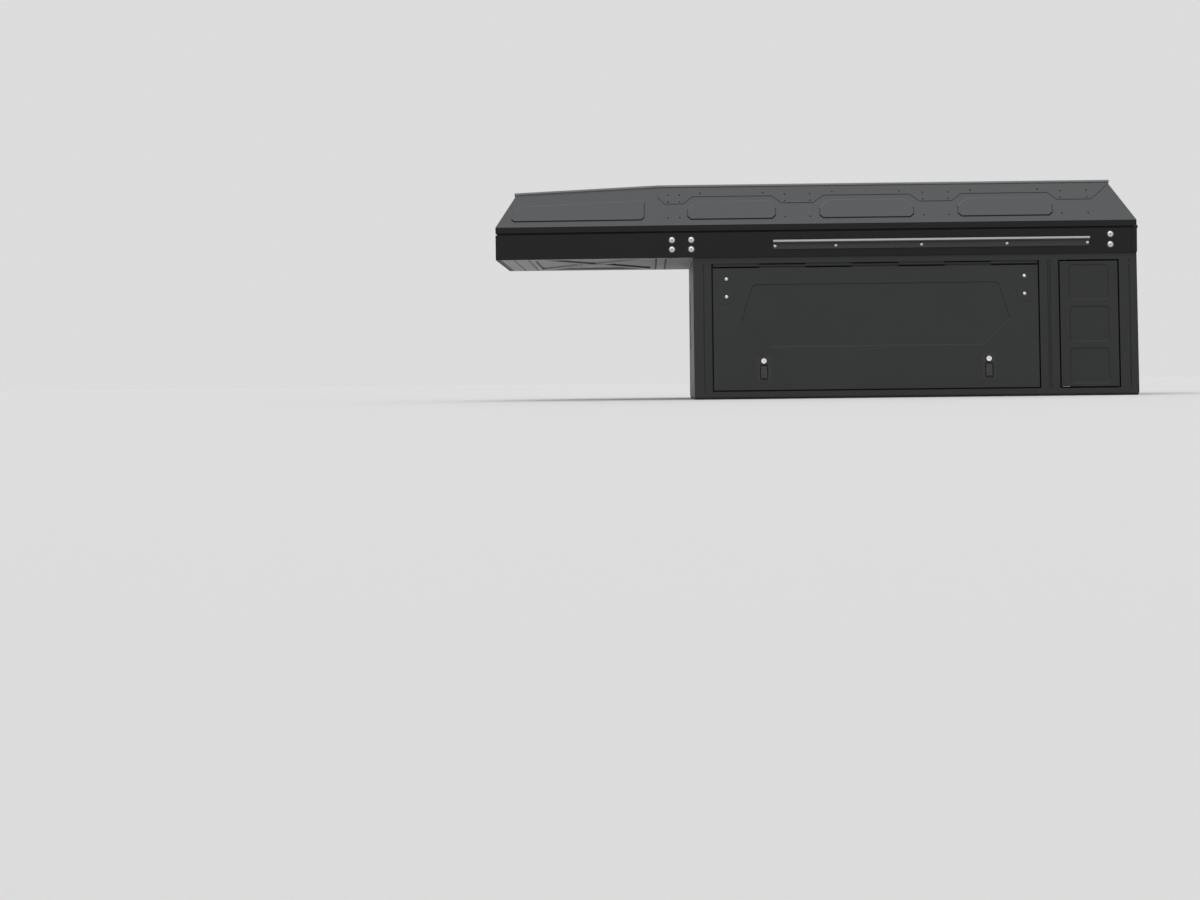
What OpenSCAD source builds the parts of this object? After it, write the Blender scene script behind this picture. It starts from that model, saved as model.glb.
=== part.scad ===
// Pickup canopy with a wedge-opening roof tent that reaches forward over the cab.
// Millimetres. X runs from the nose to the rear, Y from the left side to the right, Z up.
// The origin is at the middle of the overall length, on the centre line, at bed rail level.

/* [Canopy box] */
// Width over the two sills
base_w = 1630; // [1500:1:1760]
// Length of the box that stands on the load bed
canopy_l = 2041; // [1900:1:2250]
// Height from the bed rail to the underside of the tent base
canopy_h = 656; // [600:1:760]
// Inward lean of the side walls in degrees
lean = 5; // [3:0.5:7]
// Height of the rubber gasket under the sills
gasket_h = 10; // [6:1:14]
// Setback of the gasket from the outer face of the sills
gasket_inset = 3; // [1:1:6]
// Height of the sill bars
sill_h = 25; // [20:1:34]
// Depth of posts, rails and sill bars, from the outer face inwards
frame_d = 40; // [36:1:50]
// Thickness of the bolting flange inside each side sill
flange_t = 5; // [4:1:8]
// Width of the bolting flange
flange_w = 32; // [26:1:45]
// Height of the top rails
rail_h = 30; // [24:1:42]
// Length of a corner post along the side
corner_post = 83; // [70:1:100]
// Length of the post between the side door and the rear panel
centre_post = 87; // [70:1:110]
// Length of the fixed panel behind the side door
panel_w = 265; // [240:1:300]
// Thickness of the front wall
wall_t = 25; // [18:1:34]
// Width of the groove down each post
groove_w = 5; // [3:1:8]
// Depth of the groove down each post
groove_d = 4; // [2:1:8]

/* [Bed rail bolts] */
// Radius of the clamp bolt holes in the sill flanges
bolt_r = 4.5; // [3:0.5:6]
// Distance between the clamp bolt holes along the bed
bolt_span = 1500; // [1200:10:1700]

/* [Doors] */
// Gap all round a closed door
gap = 7; // [5:0.5:10]
// Thickness of the doors
door_t = 28; // [26:1:30]
// Height of the hinge strip above each door
hinge_zone = 22; // [20:1:30]
// Distance of the door hinge axis behind the outer face
hinge_in = 6; // [6:0.5:8]
// Outer radius of the hinge knuckles
knuckle_r = 5.5; // [5:0.25:6]
// Radius of the hinge pins
pin_r = 3; // [2.5:0.25:3.5]
// Radial clearance of a knuckle on its pin
pin_clear = 0.05; // [0.02:0.01:0.08]
// Depth of the pressed hexagon in the side doors
press_d = 3; // [2:0.5:5]
// Width of the bevel round a pressed shape
press_bevel = 5; // [3:0.5:8]
// Thickness of the bolted plate at the top corners of a side door
pad_t = 1.5; // [1:0.5:3]
// Thickness of the strut plates on the rear door
rear_pad_t = 10; // [6:1:14]
// Thickness of the landing flange that each door closes against
landing_t = 4; // [3:0.5:5]
// Width of the landing flange
landing_w = 18; // [17:1:26]
// Gap between a closed door and the seal it presses on
seal_clear = 0.3; // [0.2:0.1:0.5]

/* [Latches] */
// Width of a latch tray
tray_w = 62; // [56:1:70]
// Height of a latch tray
tray_h = 115; // [110:1:130]
// Height of the tray's lower edge above the bed rail
tray_z = 81; // [60:1:110]
// Distance from the door's edge to the middle of the latch
tray_x = 230; // [160:5:320]
// Depth of the pocket behind the lever
pocket_d = 14; // [14:1:16]
// Width of the lever
lever_w = 28; // [22:1:32]
// Thickness of the lever
lever_t = 8; // [7:0.5:8]
// Radius of the lock barrel
lock_r = 12; // [9:0.5:13]

/* [Tent base] */
// Overall length of the tent base from nose to rear
tent_l = 2954; // [2750:1:3200]
// How far the tent base stands out over the top rails
tent_overhang = 8; // [4:1:14]
// Height of the tent base
band_h = 114; // [96:1:140]
// Thickness of the tent base walls
band_t = 25; // [20:1:32]
// Distance from the nose to the crease where the sides turn inwards
crease_x = 752; // [600:1:850]
// How far each side has turned in at the nose
nose_taper = 36; // [10:1:60]
// Thickness of the floor over the cab
floor_t = 20; // [16:1:26]
// Depth of the pressings in the floor over the cab
floor_press = 8; // [4:1:10]
// Height of the seal between the tent base and the lid
seal_h = 9; // [9:0.5:12]

/* [Awning rail] */
// Distance from the nose to the front end of the awning rail
awning_x = 1282; // [1100:1:1400]
// Length of the awning rail
awning_l = 1455; // [1200:1:1500]
// Height of the awning rail
awning_h = 42; // [34:1:50]
// Distance from the bottom of the tent base to the awning rail
awning_z = 34; // [26:1:40]
// How far the hooked lip stands out
awning_out = 20; // [14:1:28]

/* [Lid] */
// Height of the upright flange round the lid
lid_flange = 27; // [22:1:40]
// Rise of the sloping sides behind the crease
rise_main = 176; // [150:1:200]
// Rise of the sloping sides at the nose
rise_nose = 148; // [120:1:150]
// Angle of the lid's slopes from the vertical in degrees
slope = 33; // [25:1:40]
// Thickness of the lid's walls, measured level
lid_t = 20; // [14:1:26]
// Thickness of the roof
roof_t = 20; // [14:1:26]
// How far the pressed windows stand out
window_out = 4; // [2:0.5:5]
// Thickness of the roof skin where it laps over the sides
lap_t = 2.5; // [1.5:0.5:3.5]
// Height of the bars along the roof edges
edge_bar_h = 16; // [14:1:24]
// How far the catches and latches stand out at the rear
catch_out = 44; // [36:1:56]
// Width of a catch
catch_w = 70; // [50:1:90]

/* [Hidden] */
$fn = 48;

// Overlap that makes two shapes of one piece fuse
fuse = 1;
// Film of sealant round the roof panel and under the lapped roof skin
seam = 0.05;
// Joint between neighbouring strips of one seal or flange
butt = 1;
// Ends of a fixed knuckle and a moving knuckle stand this far apart
knuckle_gap = 1;

body_dark = "#37393b";
band_dark = "#2a2b2c";
slope_grey = "#4c4e50";
rubber_black = "#111112";

// Stations along X, measured from the nose
nose_l = tent_l - canopy_l;
door_w = canopy_l - 2 * corner_post - centre_post - panel_w - 4 * gap;
door_x0 = nose_l + corner_post + gap;
door_x1 = door_x0 + door_w;
centre_x = door_x1 + gap;
panel_x0 = centre_x + centre_post + gap;
rear_post_x = tent_l - corner_post;
overall_l = tent_l + catch_out;

// Heights
sill_z = gasket_h + sill_h;
rail_z = canopy_h - rail_h;
door_z0 = sill_z + gap;
door_z1 = rail_z - hinge_zone;
hinge_z = rail_z - hinge_zone / 2;
tent_z1 = canopy_h + band_h;
lid_z0 = tent_z1 + seal_h;
lid_z1 = lid_z0 + lid_flange;

// Widths
top_w = base_w - 2 * canopy_h * tan(lean);
tent_half = top_w / 2 + tent_overhang;
nose_half = tent_half - nose_taper;
// Level distance of the nose corner line from both outer faces, per unit of inset
nose_k = 1 / (1 + nose_taper / crease_x);

// Bevel-edged pressing of the doors: foot, tips and head above the bed rail
press_z0 = 239;
press_mid = 362;
press_z1 = 532;
// Reach of the pressing's tips from the middle of a side door, and of the end walls
side_tip = 620;
rear_tip = 560;
// Pressed rectangles of the rear panel
press_side = 41;
press_low = 55;
press_h = 165;
press_pitch = 192.5;
// Plates at the top corners of a side door
pad_edge = 14;
pad_w = 96;
pad_z0 = 440;
pad_mid = 505;
pad_z1 = 580;
pad_cut = 15;
// Strut plates of the rear door
rear_pad_z = 453;
rear_pad_h = 82;
rear_pad_w = 60;
rear_pad_in = 70;
// Depth of the rubber strips that the doors close on, and how far their flange laps a door
seal_d = 4;
landing_lap = landing_w - gap;
// Latch tray: cut corners, rim, dish, pocket and lever pin
tray_cut = 10;
tray_rim = 5;
tray_dish = 2;
pocket_half = lever_w / 2 + 5;
pocket_top = 10;
finger_gap = 11;
pivot_d = lever_t / 2 + 0.5;
lever_pin_r = 2;
lever_pivot = tray_z + 67;
lock_z = tray_z + 94;
side_latches = [door_x0 + tray_x, door_x1 - tray_x];
// Hinge leaves and knuckles
leaf_t = 3;
// Height of a leaning leaf's foot over the level top of its door
leaf_seat = (hinge_in + leaf_t / 2) * tan(lean) + pin_clear;
hinge_n = 7;
rear_hinge_l = 1300;
nose_n = 9;
nose_hinge_l = 1260;
nose_hinge_x = 6;
nose_hinge_z = tent_z1 + seal_h / 2;
nose_block = 7;
nose_pin_r = 2;
// Clamp bolt line along the side sills
bolt_y = side_y(gasket_h) + frame_d + flange_w / 2;
// Seal between tent base and lid
seal_in = 14;
seal_w = 8;
// Windows pressed in the slopes
windows = [[887, 1298], [1497, 1936], [2135, 2574]];
nose_window = [70, 691];
window_z0 = lid_z1 + 24;
window_z1 = lid_z1 + 114;
rear_window = 480;
taper_angle = atan(nose_taper / crease_x);
// Lapped roof skin: heights of its edge and the stations of its tabs
lap_up = lid_z1 + 135;
lap_down = lid_z1 + 101;
lap_ramp = 45;
lap_tabs = [[784, 869], [1325, 1473], [1963, 2112], [2598, 2752]];
// Roof edge bars
bar_w = 28;
bar_slot_h = 7;
bar_slot_d = 9;
bar_reach = 5;
// Awning rail and rear catches
rail_foot = canopy_h + awning_z;
catch_y = 480;
catch_h = 14;
catch_foot = 8;
keeper_z0 = tent_z1 - 44;
keeper_z1 = tent_z1 + 3.5;
// Pressed cross under the nose
cross_x = 445;
cross_l = 270;
cross_w = 620;
cross_arm = 45;

// A left-hand shape on the right-hand side
module on_right() mirror([0, 1, 0]) children();

// The whole model stands with its bounding box centred on the origin
module placed() translate([-overall_l / 2, 0, 0]) children();

// Outer face of the left wall at height z
function side_y(z) = -base_w / 2 + z * tan(lean);

// Height z measured up the leaning wall
function up(z) = z / cos(lean);

// Frame of the left wall: x along it, y inwards from its outer face, z up its lean
module on_wall() translate([0, -base_w / 2, 0]) rotate([-lean, 0, 0]) children();

// Frame of the rear wall: x to the right, y inwards from its outer face, z up
module on_rear() translate([tent_l, 0, 0]) rotate([0, 0, 90]) children();

// Plate with the outline (x, z), from depth y0 to y0 + t
module plate(outline, y0, t) translate([0, y0 + t, 0]) rotate([90, 0, 0])
    linear_extrude(t) polygon(outline);

// Bar along X with the section (y, z)
module bar_x(section, x0, length) translate([x0, 0, 0]) rotate([90, 0, 90])
    linear_extrude(length) polygon(section);

function rect(x0, x1, z0, z1) = [[x0, z0], [x1, z0], [x1, z1], [x0, z1]];

// Rectangle with its corners cut off by c
function cut_rect(x0, x1, z0, z1, c) = [
    [x0 + c, z0], [x1 - c, z0], [x1, z0 + c], [x1, z1 - c],
    [x1 - c, z1], [x0 + c, z1], [x0, z1 - c], [x0, z0 + c]
];

// Bevelled pressing of a convex outline, standing out by h from depth 0 towards -y
module raised(outline, h) hull() {
    plate(outline, 0, fuse);
    translate([0, -h, 0]) rotate([90, 0, 0]) linear_extrude(0.01) offset(delta = -press_bevel) polygon(outline);
}

// The same pressing as a cutter that sinks by h from depth 0 towards +y
module sunk(outline, h) hull() {
    translate([0, -0.01, 0]) plate(outline, 0, 0.01);
    plate(outline, -fuse, fuse);
    translate([0, h, 0]) rotate([90, 0, 0]) linear_extrude(0.01) offset(delta = -press_bevel) polygon(outline);
}

// Solid through rings of points, each ring with the same number of points
module loft(rings) {
    n = len(rings[0]);
    last = len(rings) - 1;
    sides = [for (r = [0:last - 1]) for (i = [0:n - 1])
        [r * n + i, r * n + (i + 1) % n, (r + 1) * n + (i + 1) % n, (r + 1) * n + i]];
    caps = [[for (i = [n - 1:-1:0]) i], [for (i = [0:n - 1]) last * n + i]];
    polyhedron(points = [for (r = rings) for (p = r) p], faces = concat(sides, caps));
}

// Solid behind the left wall's outer face, between two stations, heights and depths
module in_wall(x0, x1, z0, z1, d0, d1) bar_x([
    [side_y(z0) + d0, z0], [side_y(z0) + d1, z0], [side_y(z1) + d1, z1], [side_y(z1) + d0, z1]
], x0, x1 - x0);

// Frame of the front wall: x to the left, y inwards from its outer face, z up
module on_front() translate([nose_l, 0, 0]) rotate([0, 0, -90]) children();

// Half width of the space between the end posts at height z
function end_half(z) = -side_y(z) - frame_d;

// Panel outline for the end walls, with its sides following the leaning posts
function end_outline(z0, z1, inset) = [
    [-end_half(z0) + inset, z0], [end_half(z0) - inset, z0],
    [end_half(z1) - inset, z1], [-end_half(z1) + inset, z1]
];

// Eight-sided pressing about x = 0 whose side tips reach out to tip
function hexagon(tip) = [
    [-tip + 128, press_z0], [tip - 128, press_z0], [tip, press_mid],
    [tip - 49, press_z1 - 11], [tip - 68, press_z1],
    [-tip + 68, press_z1], [-tip + 49, press_z1 - 11], [-tip, press_mid]
];

// Depth of the landing flanges behind the outer face
landing_d = door_t + seal_clear + seal_d;

// Sill, with the bolting flange and the flange that the closed door's seal lies on
module side_sill() difference() {
    union() {
        in_wall(nose_l, tent_l, gasket_h, sill_z, 0, frame_d);
        in_wall(nose_l + frame_d, tent_l - frame_d, gasket_h, gasket_h + flange_t,
            frame_d - fuse, frame_d + flange_w);
        in_wall(door_x0 + landing_lap + butt, door_x1 - landing_lap - butt,
            sill_z - fuse, door_z0 + landing_lap, landing_d, landing_d + landing_t);
    }
    for (side = [-1, 1])
        translate([(nose_l + tent_l + side * bolt_span) / 2, bolt_y, 0]) cylinder(r = bolt_r, h = sill_z);
}

// Post from the sill to the top rail, grooved down its outer face and slotted near its top
module post(x0, length, grooves) difference() {
    in_wall(x0, x0 + length, sill_z, rail_z, 0, frame_d);
    for (g = grooves) in_wall(g - groove_w / 2, g + groove_w / 2, sill_z - fuse, rail_z + fuse, -fuse, groove_d);
}

// Upright flange behind the edge of a door or panel
module side_landing(x0, x1) in_wall(x0, x1, sill_z, rail_z, landing_d, landing_d + landing_t);

// Flange on a rear post that the rear door's seal lies on
module rear_landing() bar_x([
    [side_y(sill_z) + frame_d - fuse, sill_z],
    [side_y(sill_z) + frame_d + gap + landing_lap, sill_z],
    [side_y(rail_z) + frame_d + gap + landing_lap, rail_z],
    [side_y(rail_z) + frame_d - fuse, rail_z]
], tent_l - landing_d - landing_t, landing_t);

module front_post() union() {
    post(nose_l, corner_post, [nose_l + corner_post / 2 + groove_w]);
    side_landing(nose_l + corner_post - fuse, door_x0 + landing_lap);
}

module middle_post() union() {
    post(centre_x, centre_post, [centre_x + centre_post / 2 - groove_w, centre_x + centre_post / 2 + groove_w]);
    side_landing(door_x1 - landing_lap, centre_x + fuse);
    side_landing(centre_x + centre_post - fuse, panel_x0 + landing_lap);
}

module rear_post() union() {
    post(rear_post_x, corner_post, [rear_post_x + corner_post / 2 + groove_w]);
    side_landing(rear_post_x - gap - landing_lap, rear_post_x + fuse);
    rear_landing();
}

// Top rail, with the strip above the door and the flange behind the door's top edge
module top_rail() union() {
    in_wall(nose_l, tent_l, rail_z, canopy_h, 0, frame_d);
    in_wall(door_x0 + landing_lap + butt, door_x1 - landing_lap - butt,
        door_z1 - landing_lap, rail_z + fuse, landing_d, landing_d + landing_t);
}

// Fixed panel behind the side door with three pressed rectangles, seated on the flanges
module rear_panel() difference() {
    in_wall(panel_x0, panel_x0 + panel_w, door_z0, rail_z - gap, 0, landing_d);
    for (i = [0:2]) on_wall() sunk(cut_rect(
        panel_x0 + press_side, panel_x0 + panel_w - press_side,
        up(press_low + i * press_pitch), up(press_low + i * press_pitch + press_h), 12), press_d);
}

// Raised plate with a straight outer side, at a door's top corner; x runs from the door's edge
module corner_pad(x0, dir) {
    near = x0 + dir * pad_edge;
    far = x0 + dir * (pad_edge + pad_w);
    shape = [
        [near, up(pad_z0) + pad_cut], [near + dir * pad_cut, up(pad_z0)],
        [far - dir * 2 * pad_cut, up(pad_z0)], [far, up(pad_mid)],
        [far - dir * 2 * pad_cut, up(pad_z1)], [near + dir * pad_cut, up(pad_z1)],
        [near, up(pad_z1) - pad_cut]
    ];
    plate(shape, -pad_t, pad_t + fuse);
}

// Outline of a latch tray about x = xc in a door's own frame
function tray_outline(xc) = cut_rect(xc - tray_w / 2, xc + tray_w / 2, tray_z, tray_z + tray_h, tray_cut);

// Tray with its dish, the lever's pocket, the lever's pin and the lock barrel
module latch_tray(xc) {
    difference() {
        plate(tray_outline(xc), 0, door_t);
        plate(cut_rect(xc - tray_w / 2 + tray_rim, xc + tray_w / 2 - tray_rim,
            tray_z + tray_rim, tray_z + tray_h - tray_rim, tray_cut), -fuse, tray_dish + fuse);
        plate(rect(xc - pocket_half, xc + pocket_half, tray_z + tray_rim, lever_pivot + pocket_top),
            -fuse, pocket_d + fuse);
    }
    translate([xc - pocket_half - fuse, pivot_d, lever_pivot]) rotate([0, 90, 0])
        cylinder(r = lever_pin_r, h = 2 * (pocket_half + fuse));
    translate([xc, tray_dish + fuse, lock_z]) rotate([90, 0, 0]) cylinder(r = lock_r, h = tray_dish + fuse);
}

// Lever that hangs from its pin, with a finger gap below its foot
module latch_lever(xc) difference() {
    union() {
        plate(rect(xc - lever_w / 2, xc + lever_w / 2, tray_z + tray_rim + finger_gap, lever_pivot),
            pivot_d - lever_t / 2, lever_t);
        translate([xc - lever_w / 2, pivot_d, lever_pivot]) rotate([0, 90, 0])
            cylinder(r = lever_t / 2, h = lever_w);
    }
    translate([xc - lever_w, pivot_d, lever_pivot]) rotate([0, 90, 0])
        cylinder(r = lever_pin_r + pin_clear, h = 2 * lever_w);
}

// Side door with its hexagonal pressing, corner plates and openings for the latches
module side_door() difference() {
    union() {
        difference() {
            in_wall(door_x0, door_x1, door_z0, door_z1, 0, door_t);
            translate([(door_x0 + door_x1) / 2, 0, 0]) on_wall() sunk(hexagon(side_tip), press_d);
        }
        on_wall() {
            corner_pad(door_x0, 1);
            corner_pad(door_x1, -1);
        }
    }
    on_wall() for (x = side_latches) plate(tray_outline(x), -10, door_t + 20);
}

// Rear door, pressed like the side doors, with two strut plates and one latch
module rear_panel_door() difference() {
    union() {
        difference() {
            plate(end_outline(door_z0, door_z1, gap), 0, door_t);
            sunk(hexagon(rear_tip), press_d);
        }
        for (side = [-1, 1]) translate([side * (end_half(rear_pad_z) - rear_pad_in), 0, 0])
            plate(cut_rect(-rear_pad_w / 2, rear_pad_w / 2, rear_pad_z, rear_pad_z + rear_pad_h, 8),
                -rear_pad_t, rear_pad_t + fuse);
    }
    plate(tray_outline(0), -20, door_t + 40);
}

// Knuckle number i of a hinge that starts at x0 and is split into n equal knuckles
function knuckle_x(x0, length, n, i) = x0 + i * length / n;

// Fixed half of a door hinge in the door's frame: leaf, every second knuckle and the pin
module fixed_leaf(x0, length, n, z, z_top) {
    translate([x0, hinge_in, z]) rotate([0, 90, 0]) cylinder(r = pin_r, h = length);
    for (i = [0:2:n - 1]) translate([knuckle_x(x0, length, n, i), 0, 0]) {
        translate([knuckle_gap / 2, hinge_in, z]) rotate([0, 90, 0])
            cylinder(r = knuckle_r, h = length / n - knuckle_gap);
        translate([knuckle_gap / 2, hinge_in - leaf_t / 2, z])
            cube([length / n - knuckle_gap, leaf_t, z_top - z]);
    }
}

// Moving half of a door hinge: the knuckles between, bored for the pin, and their leaf
module moving_leaf(x0, length, n, z, z_bottom) difference() {
    for (i = [1:2:n - 1]) translate([knuckle_x(x0, length, n, i), 0, 0]) {
        translate([knuckle_gap / 2, hinge_in, z]) rotate([0, 90, 0])
            cylinder(r = knuckle_r, h = length / n - knuckle_gap);
        translate([knuckle_gap / 2, hinge_in - leaf_t / 2, z_bottom])
            cube([length / n - knuckle_gap, leaf_t, z - z_bottom]);
    }
    translate([x0 - 1, hinge_in, z]) rotate([0, 90, 0]) cylinder(r = pin_r + pin_clear, h = length + 2);
}

// Seal strips round a side door opening, on the landing flanges
module side_seal() {
    d0 = door_t + seal_clear;
    lap = landing_lap - 2;
    for (x = [door_x0, door_x1 - lap]) in_wall(x, x + lap, door_z0, door_z1, d0, landing_d);
    for (z = [door_z0, door_z1 - lap])
        in_wall(door_x0 + landing_lap + butt, door_x1 - landing_lap - butt, z, z + lap, d0, landing_d);
}

// Seal strips round the rear door opening
module rear_seal() {
    lap = landing_lap - 2;
    for (side = [0, 1]) mirror([side, 0, 0]) plate([
        [end_half(door_z0) - gap - lap, door_z0], [end_half(door_z0) - gap, door_z0],
        [end_half(door_z1) - gap, door_z1], [end_half(door_z1) - gap - lap, door_z1]
    ], door_t + seal_clear, seal_d);
    for (z = [door_z0, door_z1 - lap]) plate([
        [-end_half(z) + gap + landing_lap + butt, z], [end_half(z) - gap - landing_lap - butt, z],
        [end_half(z) - gap - landing_lap - butt, z + lap], [-end_half(z) + gap + landing_lap + butt, z + lap]
    ], door_t + seal_clear, seal_d);
}

// Plan of the tent at a level inset from its outer faces, as one ring of points
function tent_plan(inset) = [
    [inset, -nose_half - inset * nose_taper / crease_x + inset],
    [crease_x, -tent_half + inset], [tent_l - inset, -tent_half + inset],
    [tent_l - inset, tent_half - inset], [crease_x, tent_half - inset],
    [inset, nose_half + inset * nose_taper / crease_x - inset]
];

// How far the lid's slope has moved in at height z
function inset(z) = max(0, z - lid_z1) * tan(slope);

// Points of the left side of the lid at inset d and height z: nose corner, crease, rear corner
function nose_point(d, z) = [d * nose_k, -nose_half + d * nose_k, z];
function crease_point(d, z) = [crease_x, -tent_half + d, z];
function rear_point(d, z) = [tent_l - d, -tent_half + d, z];
function right_of(p) = [p[0], -p[1], p[2]];

main_top = lid_z1 + rise_main;
nose_top = lid_z1 + rise_nose;

// Section through a sloping side, as pairs of inset and height
function slab(top) = [
    [0, lid_z0], [0, lid_z1], [inset(top), top],
    [inset(top) + lid_t, top], [lid_t, lid_z1], [lid_t, lid_z0]
];

// Edge of the roof panel between the sloping sides
function roof_edge(top) = [
    [inset(top - roof_t) + lid_t + seam, top - roof_t], [inset(top) + lid_t + seam, top]
];

// Frames on the slopes: x along, y inwards from the outer face, z up the slope
module on_slope() translate([0, -tent_half, lid_z1]) rotate([-slope, 0, 0]) children();
module on_rear_slope() translate([tent_l, 0, lid_z1]) rotate([0, 0, 90]) rotate([-slope, 0, 0]) children();
module on_nose_slope() translate([0, -nose_half, lid_z1]) rotate([0, 0, -taper_angle])
    rotate([-atan(tan(slope) * cos(taper_angle)), 0, 0]) children();

// Height z measured up a slope from the lid's flange
function sl(z) = (z - lid_z1) / cos(slope);

// Window pressing with small cuts at its foot and large ones at its head
function window(x0, x1, z0, z1, foot, head) = [
    [x0 + foot, z0], [x1 - foot, z0], [x1, z0 + foot], [x1, z1 - head],
    [x1 - head, z1], [x0 + head, z1], [x0, z1 - head], [x0, z0 + foot]
];

// Sloping side of the lid with its pressed windows, crease included
module lid_side() union() {
    loft([[for (p = slab(main_top)) crease_point(p[0], p[1])], [for (p = slab(main_top)) rear_point(p[0], p[1])]]);
    loft([[for (p = slab(nose_top)) nose_point(p[0], p[1])], [for (p = slab(main_top)) crease_point(p[0], p[1])]]);
    on_slope() for (w = windows) raised(window(w[0], w[1], sl(window_z0), sl(window_z1), 18, 45), window_out);
    on_nose_slope() raised([
        [nose_window[0] + 15, sl(window_z0)], [nose_window[1] - 15, sl(window_z0)],
        [nose_window[1], sl(window_z0) + 15], [nose_window[1], sl(window_z1 + 7) - 15],
        [nose_window[1] - 15, sl(window_z1 + 7)],
        [nose_window[0] + 35, sl(window_z1 - 15)], [nose_window[0] + 20, sl(window_z1 - 30)],
        [nose_window[0], sl(window_z0) + 15]
    ], window_out);
}

// Roof skin lapped over one side, hanging lower at each tab
module side_lap() on_slope() plate(concat(
    [[crease_x, sl(main_top)], [crease_x, sl(lap_up)]],
    [for (t = lap_tabs) for (p = [
        [max(t[0] - lap_ramp, crease_x), sl(lap_up)], [t[0], sl(lap_down)],
        [t[1], sl(lap_down)], [t[1] + lap_ramp, sl(lap_up)]
    ]) if (p[0] > crease_x && p[0] < tent_l - inset(lap_up) - 20) p],
    [[tent_l - inset(main_top), sl(main_top)]]
), -lap_t - seam, lap_t);

// Bar with a side slot that follows one edge of the roof, bent at the crease
module edge_bar() {
    e = tent_half - inset(main_top);
    f = nose_half - inset(nose_top) * nose_k;
    run = crease_x - inset(nose_top) * nose_k;
    section = [
        [bar_slot_d, 0], [bar_slot_d, bar_slot_h], [0, bar_slot_h], [0, edge_bar_h - 3],
        [3, edge_bar_h], [bar_w, edge_bar_h], [bar_w, 0]
    ];
    // Each station is x, half width of the roof there and height of the roof there
    reach = bar_reach / run;
    stations = [
        [inset(nose_top) * nose_k - bar_reach, f - (e - f) * reach, nose_top - (main_top - nose_top) * reach],
        [crease_x, e, main_top],
        [tent_l - inset(main_top) + bar_reach, e, main_top]
    ];
    loft([for (s = stations) [for (p = section) [s[0], -s[1] + p[0], s[2] + p[1]]]]);
}

// Hooked rail on the side of the tent, with a slot that opens downwards
module awning_rail() bar_x([
    [-tent_half, rail_foot], [-tent_half, rail_foot + awning_h],
    [-tent_half - awning_out, rail_foot + awning_h], [-tent_half - awning_out, rail_foot + awning_h - 14],
    [-tent_half - awning_out + 4, rail_foot + awning_h - 14],
    [-tent_half - awning_out + 4, rail_foot + awning_h - 10],
    [-tent_half - 4, rail_foot + awning_h - 10], [-tent_half - 4, rail_foot]
], awning_x, awning_l);

// Hinge along the nose, with knuckles that fit between the tent base and the lid
module nose_knuckles(first) {
    for (i = [first:2:nose_n - 1])
        translate([nose_hinge_x, -nose_hinge_l / 2 + i * nose_hinge_l / nose_n + knuckle_gap / 2, nose_hinge_z])
            rotate([-90, 0, 0]) cylinder(r = seal_h / 2 - seal_clear, h = nose_hinge_l / nose_n - knuckle_gap);
}

// Block that joins a nose knuckle to the tent base below it or to the lid above it
module nose_blocks(first, z) {
    for (i = [first:2:nose_n - 1])
        translate([nose_hinge_x - nose_block / 2, -nose_hinge_l / 2 + i * nose_hinge_l / nose_n + knuckle_gap / 2, z])
            cube([nose_block, nose_hinge_l / nose_n - knuckle_gap, seal_h / 2]);
}

module base_gasket() placed() color(rubber_black) linear_extrude(gasket_h) difference() {
    w = base_w / 2 - gasket_inset;
    b = frame_d - 2 * gasket_inset;
    polygon(rect(nose_l + gasket_inset, tent_l - gasket_inset, -w, w));
    polygon(rect(nose_l + gasket_inset + b, tent_l - gasket_inset - b, b - w, w - b));
}

module left_sill() placed() color(body_dark) side_sill();
module right_sill() placed() color(body_dark) on_right() side_sill();

module end_sills() placed() color(body_dark) {
    on_front() plate(end_outline(gasket_h, sill_z, 0), 0, frame_d);
    on_rear() union() {
        plate(end_outline(gasket_h, sill_z, 0), 0, frame_d);
        plate(end_outline(sill_z - fuse, door_z0 + landing_lap, gap + landing_lap + butt), landing_d, landing_t);
    }
}

module left_front_post() placed() color(body_dark) front_post();
module left_centre_post() placed() color(body_dark) middle_post();
module left_rear_post() placed() color(body_dark) rear_post();
module right_front_post() placed() color(body_dark) on_right() front_post();
module right_centre_post() placed() color(body_dark) on_right() middle_post();
module right_rear_post() placed() color(body_dark) on_right() rear_post();
module left_top_rail() placed() color(body_dark) top_rail();
module right_top_rail() placed() color(body_dark) on_right() top_rail();

module front_wall() placed() color(body_dark) on_front() difference() {
    plate(end_outline(sill_z, canopy_h, 0), 0, wall_t);
    sunk(hexagon(rear_tip), press_d);
}

module left_rear_panel() placed() color(body_dark) rear_panel();
module right_rear_panel() placed() color(body_dark) on_right() rear_panel();

module rear_header() placed() color(body_dark) on_rear() union() {
    plate(end_outline(rail_z, canopy_h, 0), 0, frame_d);
    plate(end_outline(door_z1 - landing_lap, rail_z + fuse, gap + landing_lap + butt), landing_d, landing_t);
}

// One side of the tent base, bent at the crease
module tent_side() translate([0, 0, canopy_h]) linear_extrude(band_h) polygon([
    [0, -nose_half], [crease_x, -tent_half], [tent_l, -tent_half],
    [tent_l, -tent_half + band_t], [crease_x, -tent_half + band_t], [0, -nose_half + band_t]
]);

module tent_left_side() placed() color(band_dark) tent_side();
module tent_right_side() placed() color(band_dark) on_right() tent_side();

module tent_front() placed() color(band_dark) translate([0, 0, canopy_h]) linear_extrude(band_h) {
    w = nose_half - band_t;
    polygon([[0, -w], [0, w], [band_t, w + band_t * nose_taper / crease_x],
        [band_t, -w - band_t * nose_taper / crease_x]]);
}

module tent_rear() placed() color(band_dark) translate([tent_l - band_t, -tent_half + band_t, canopy_h])
    cube([band_t, 2 * (tent_half - band_t), band_h]);

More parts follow.
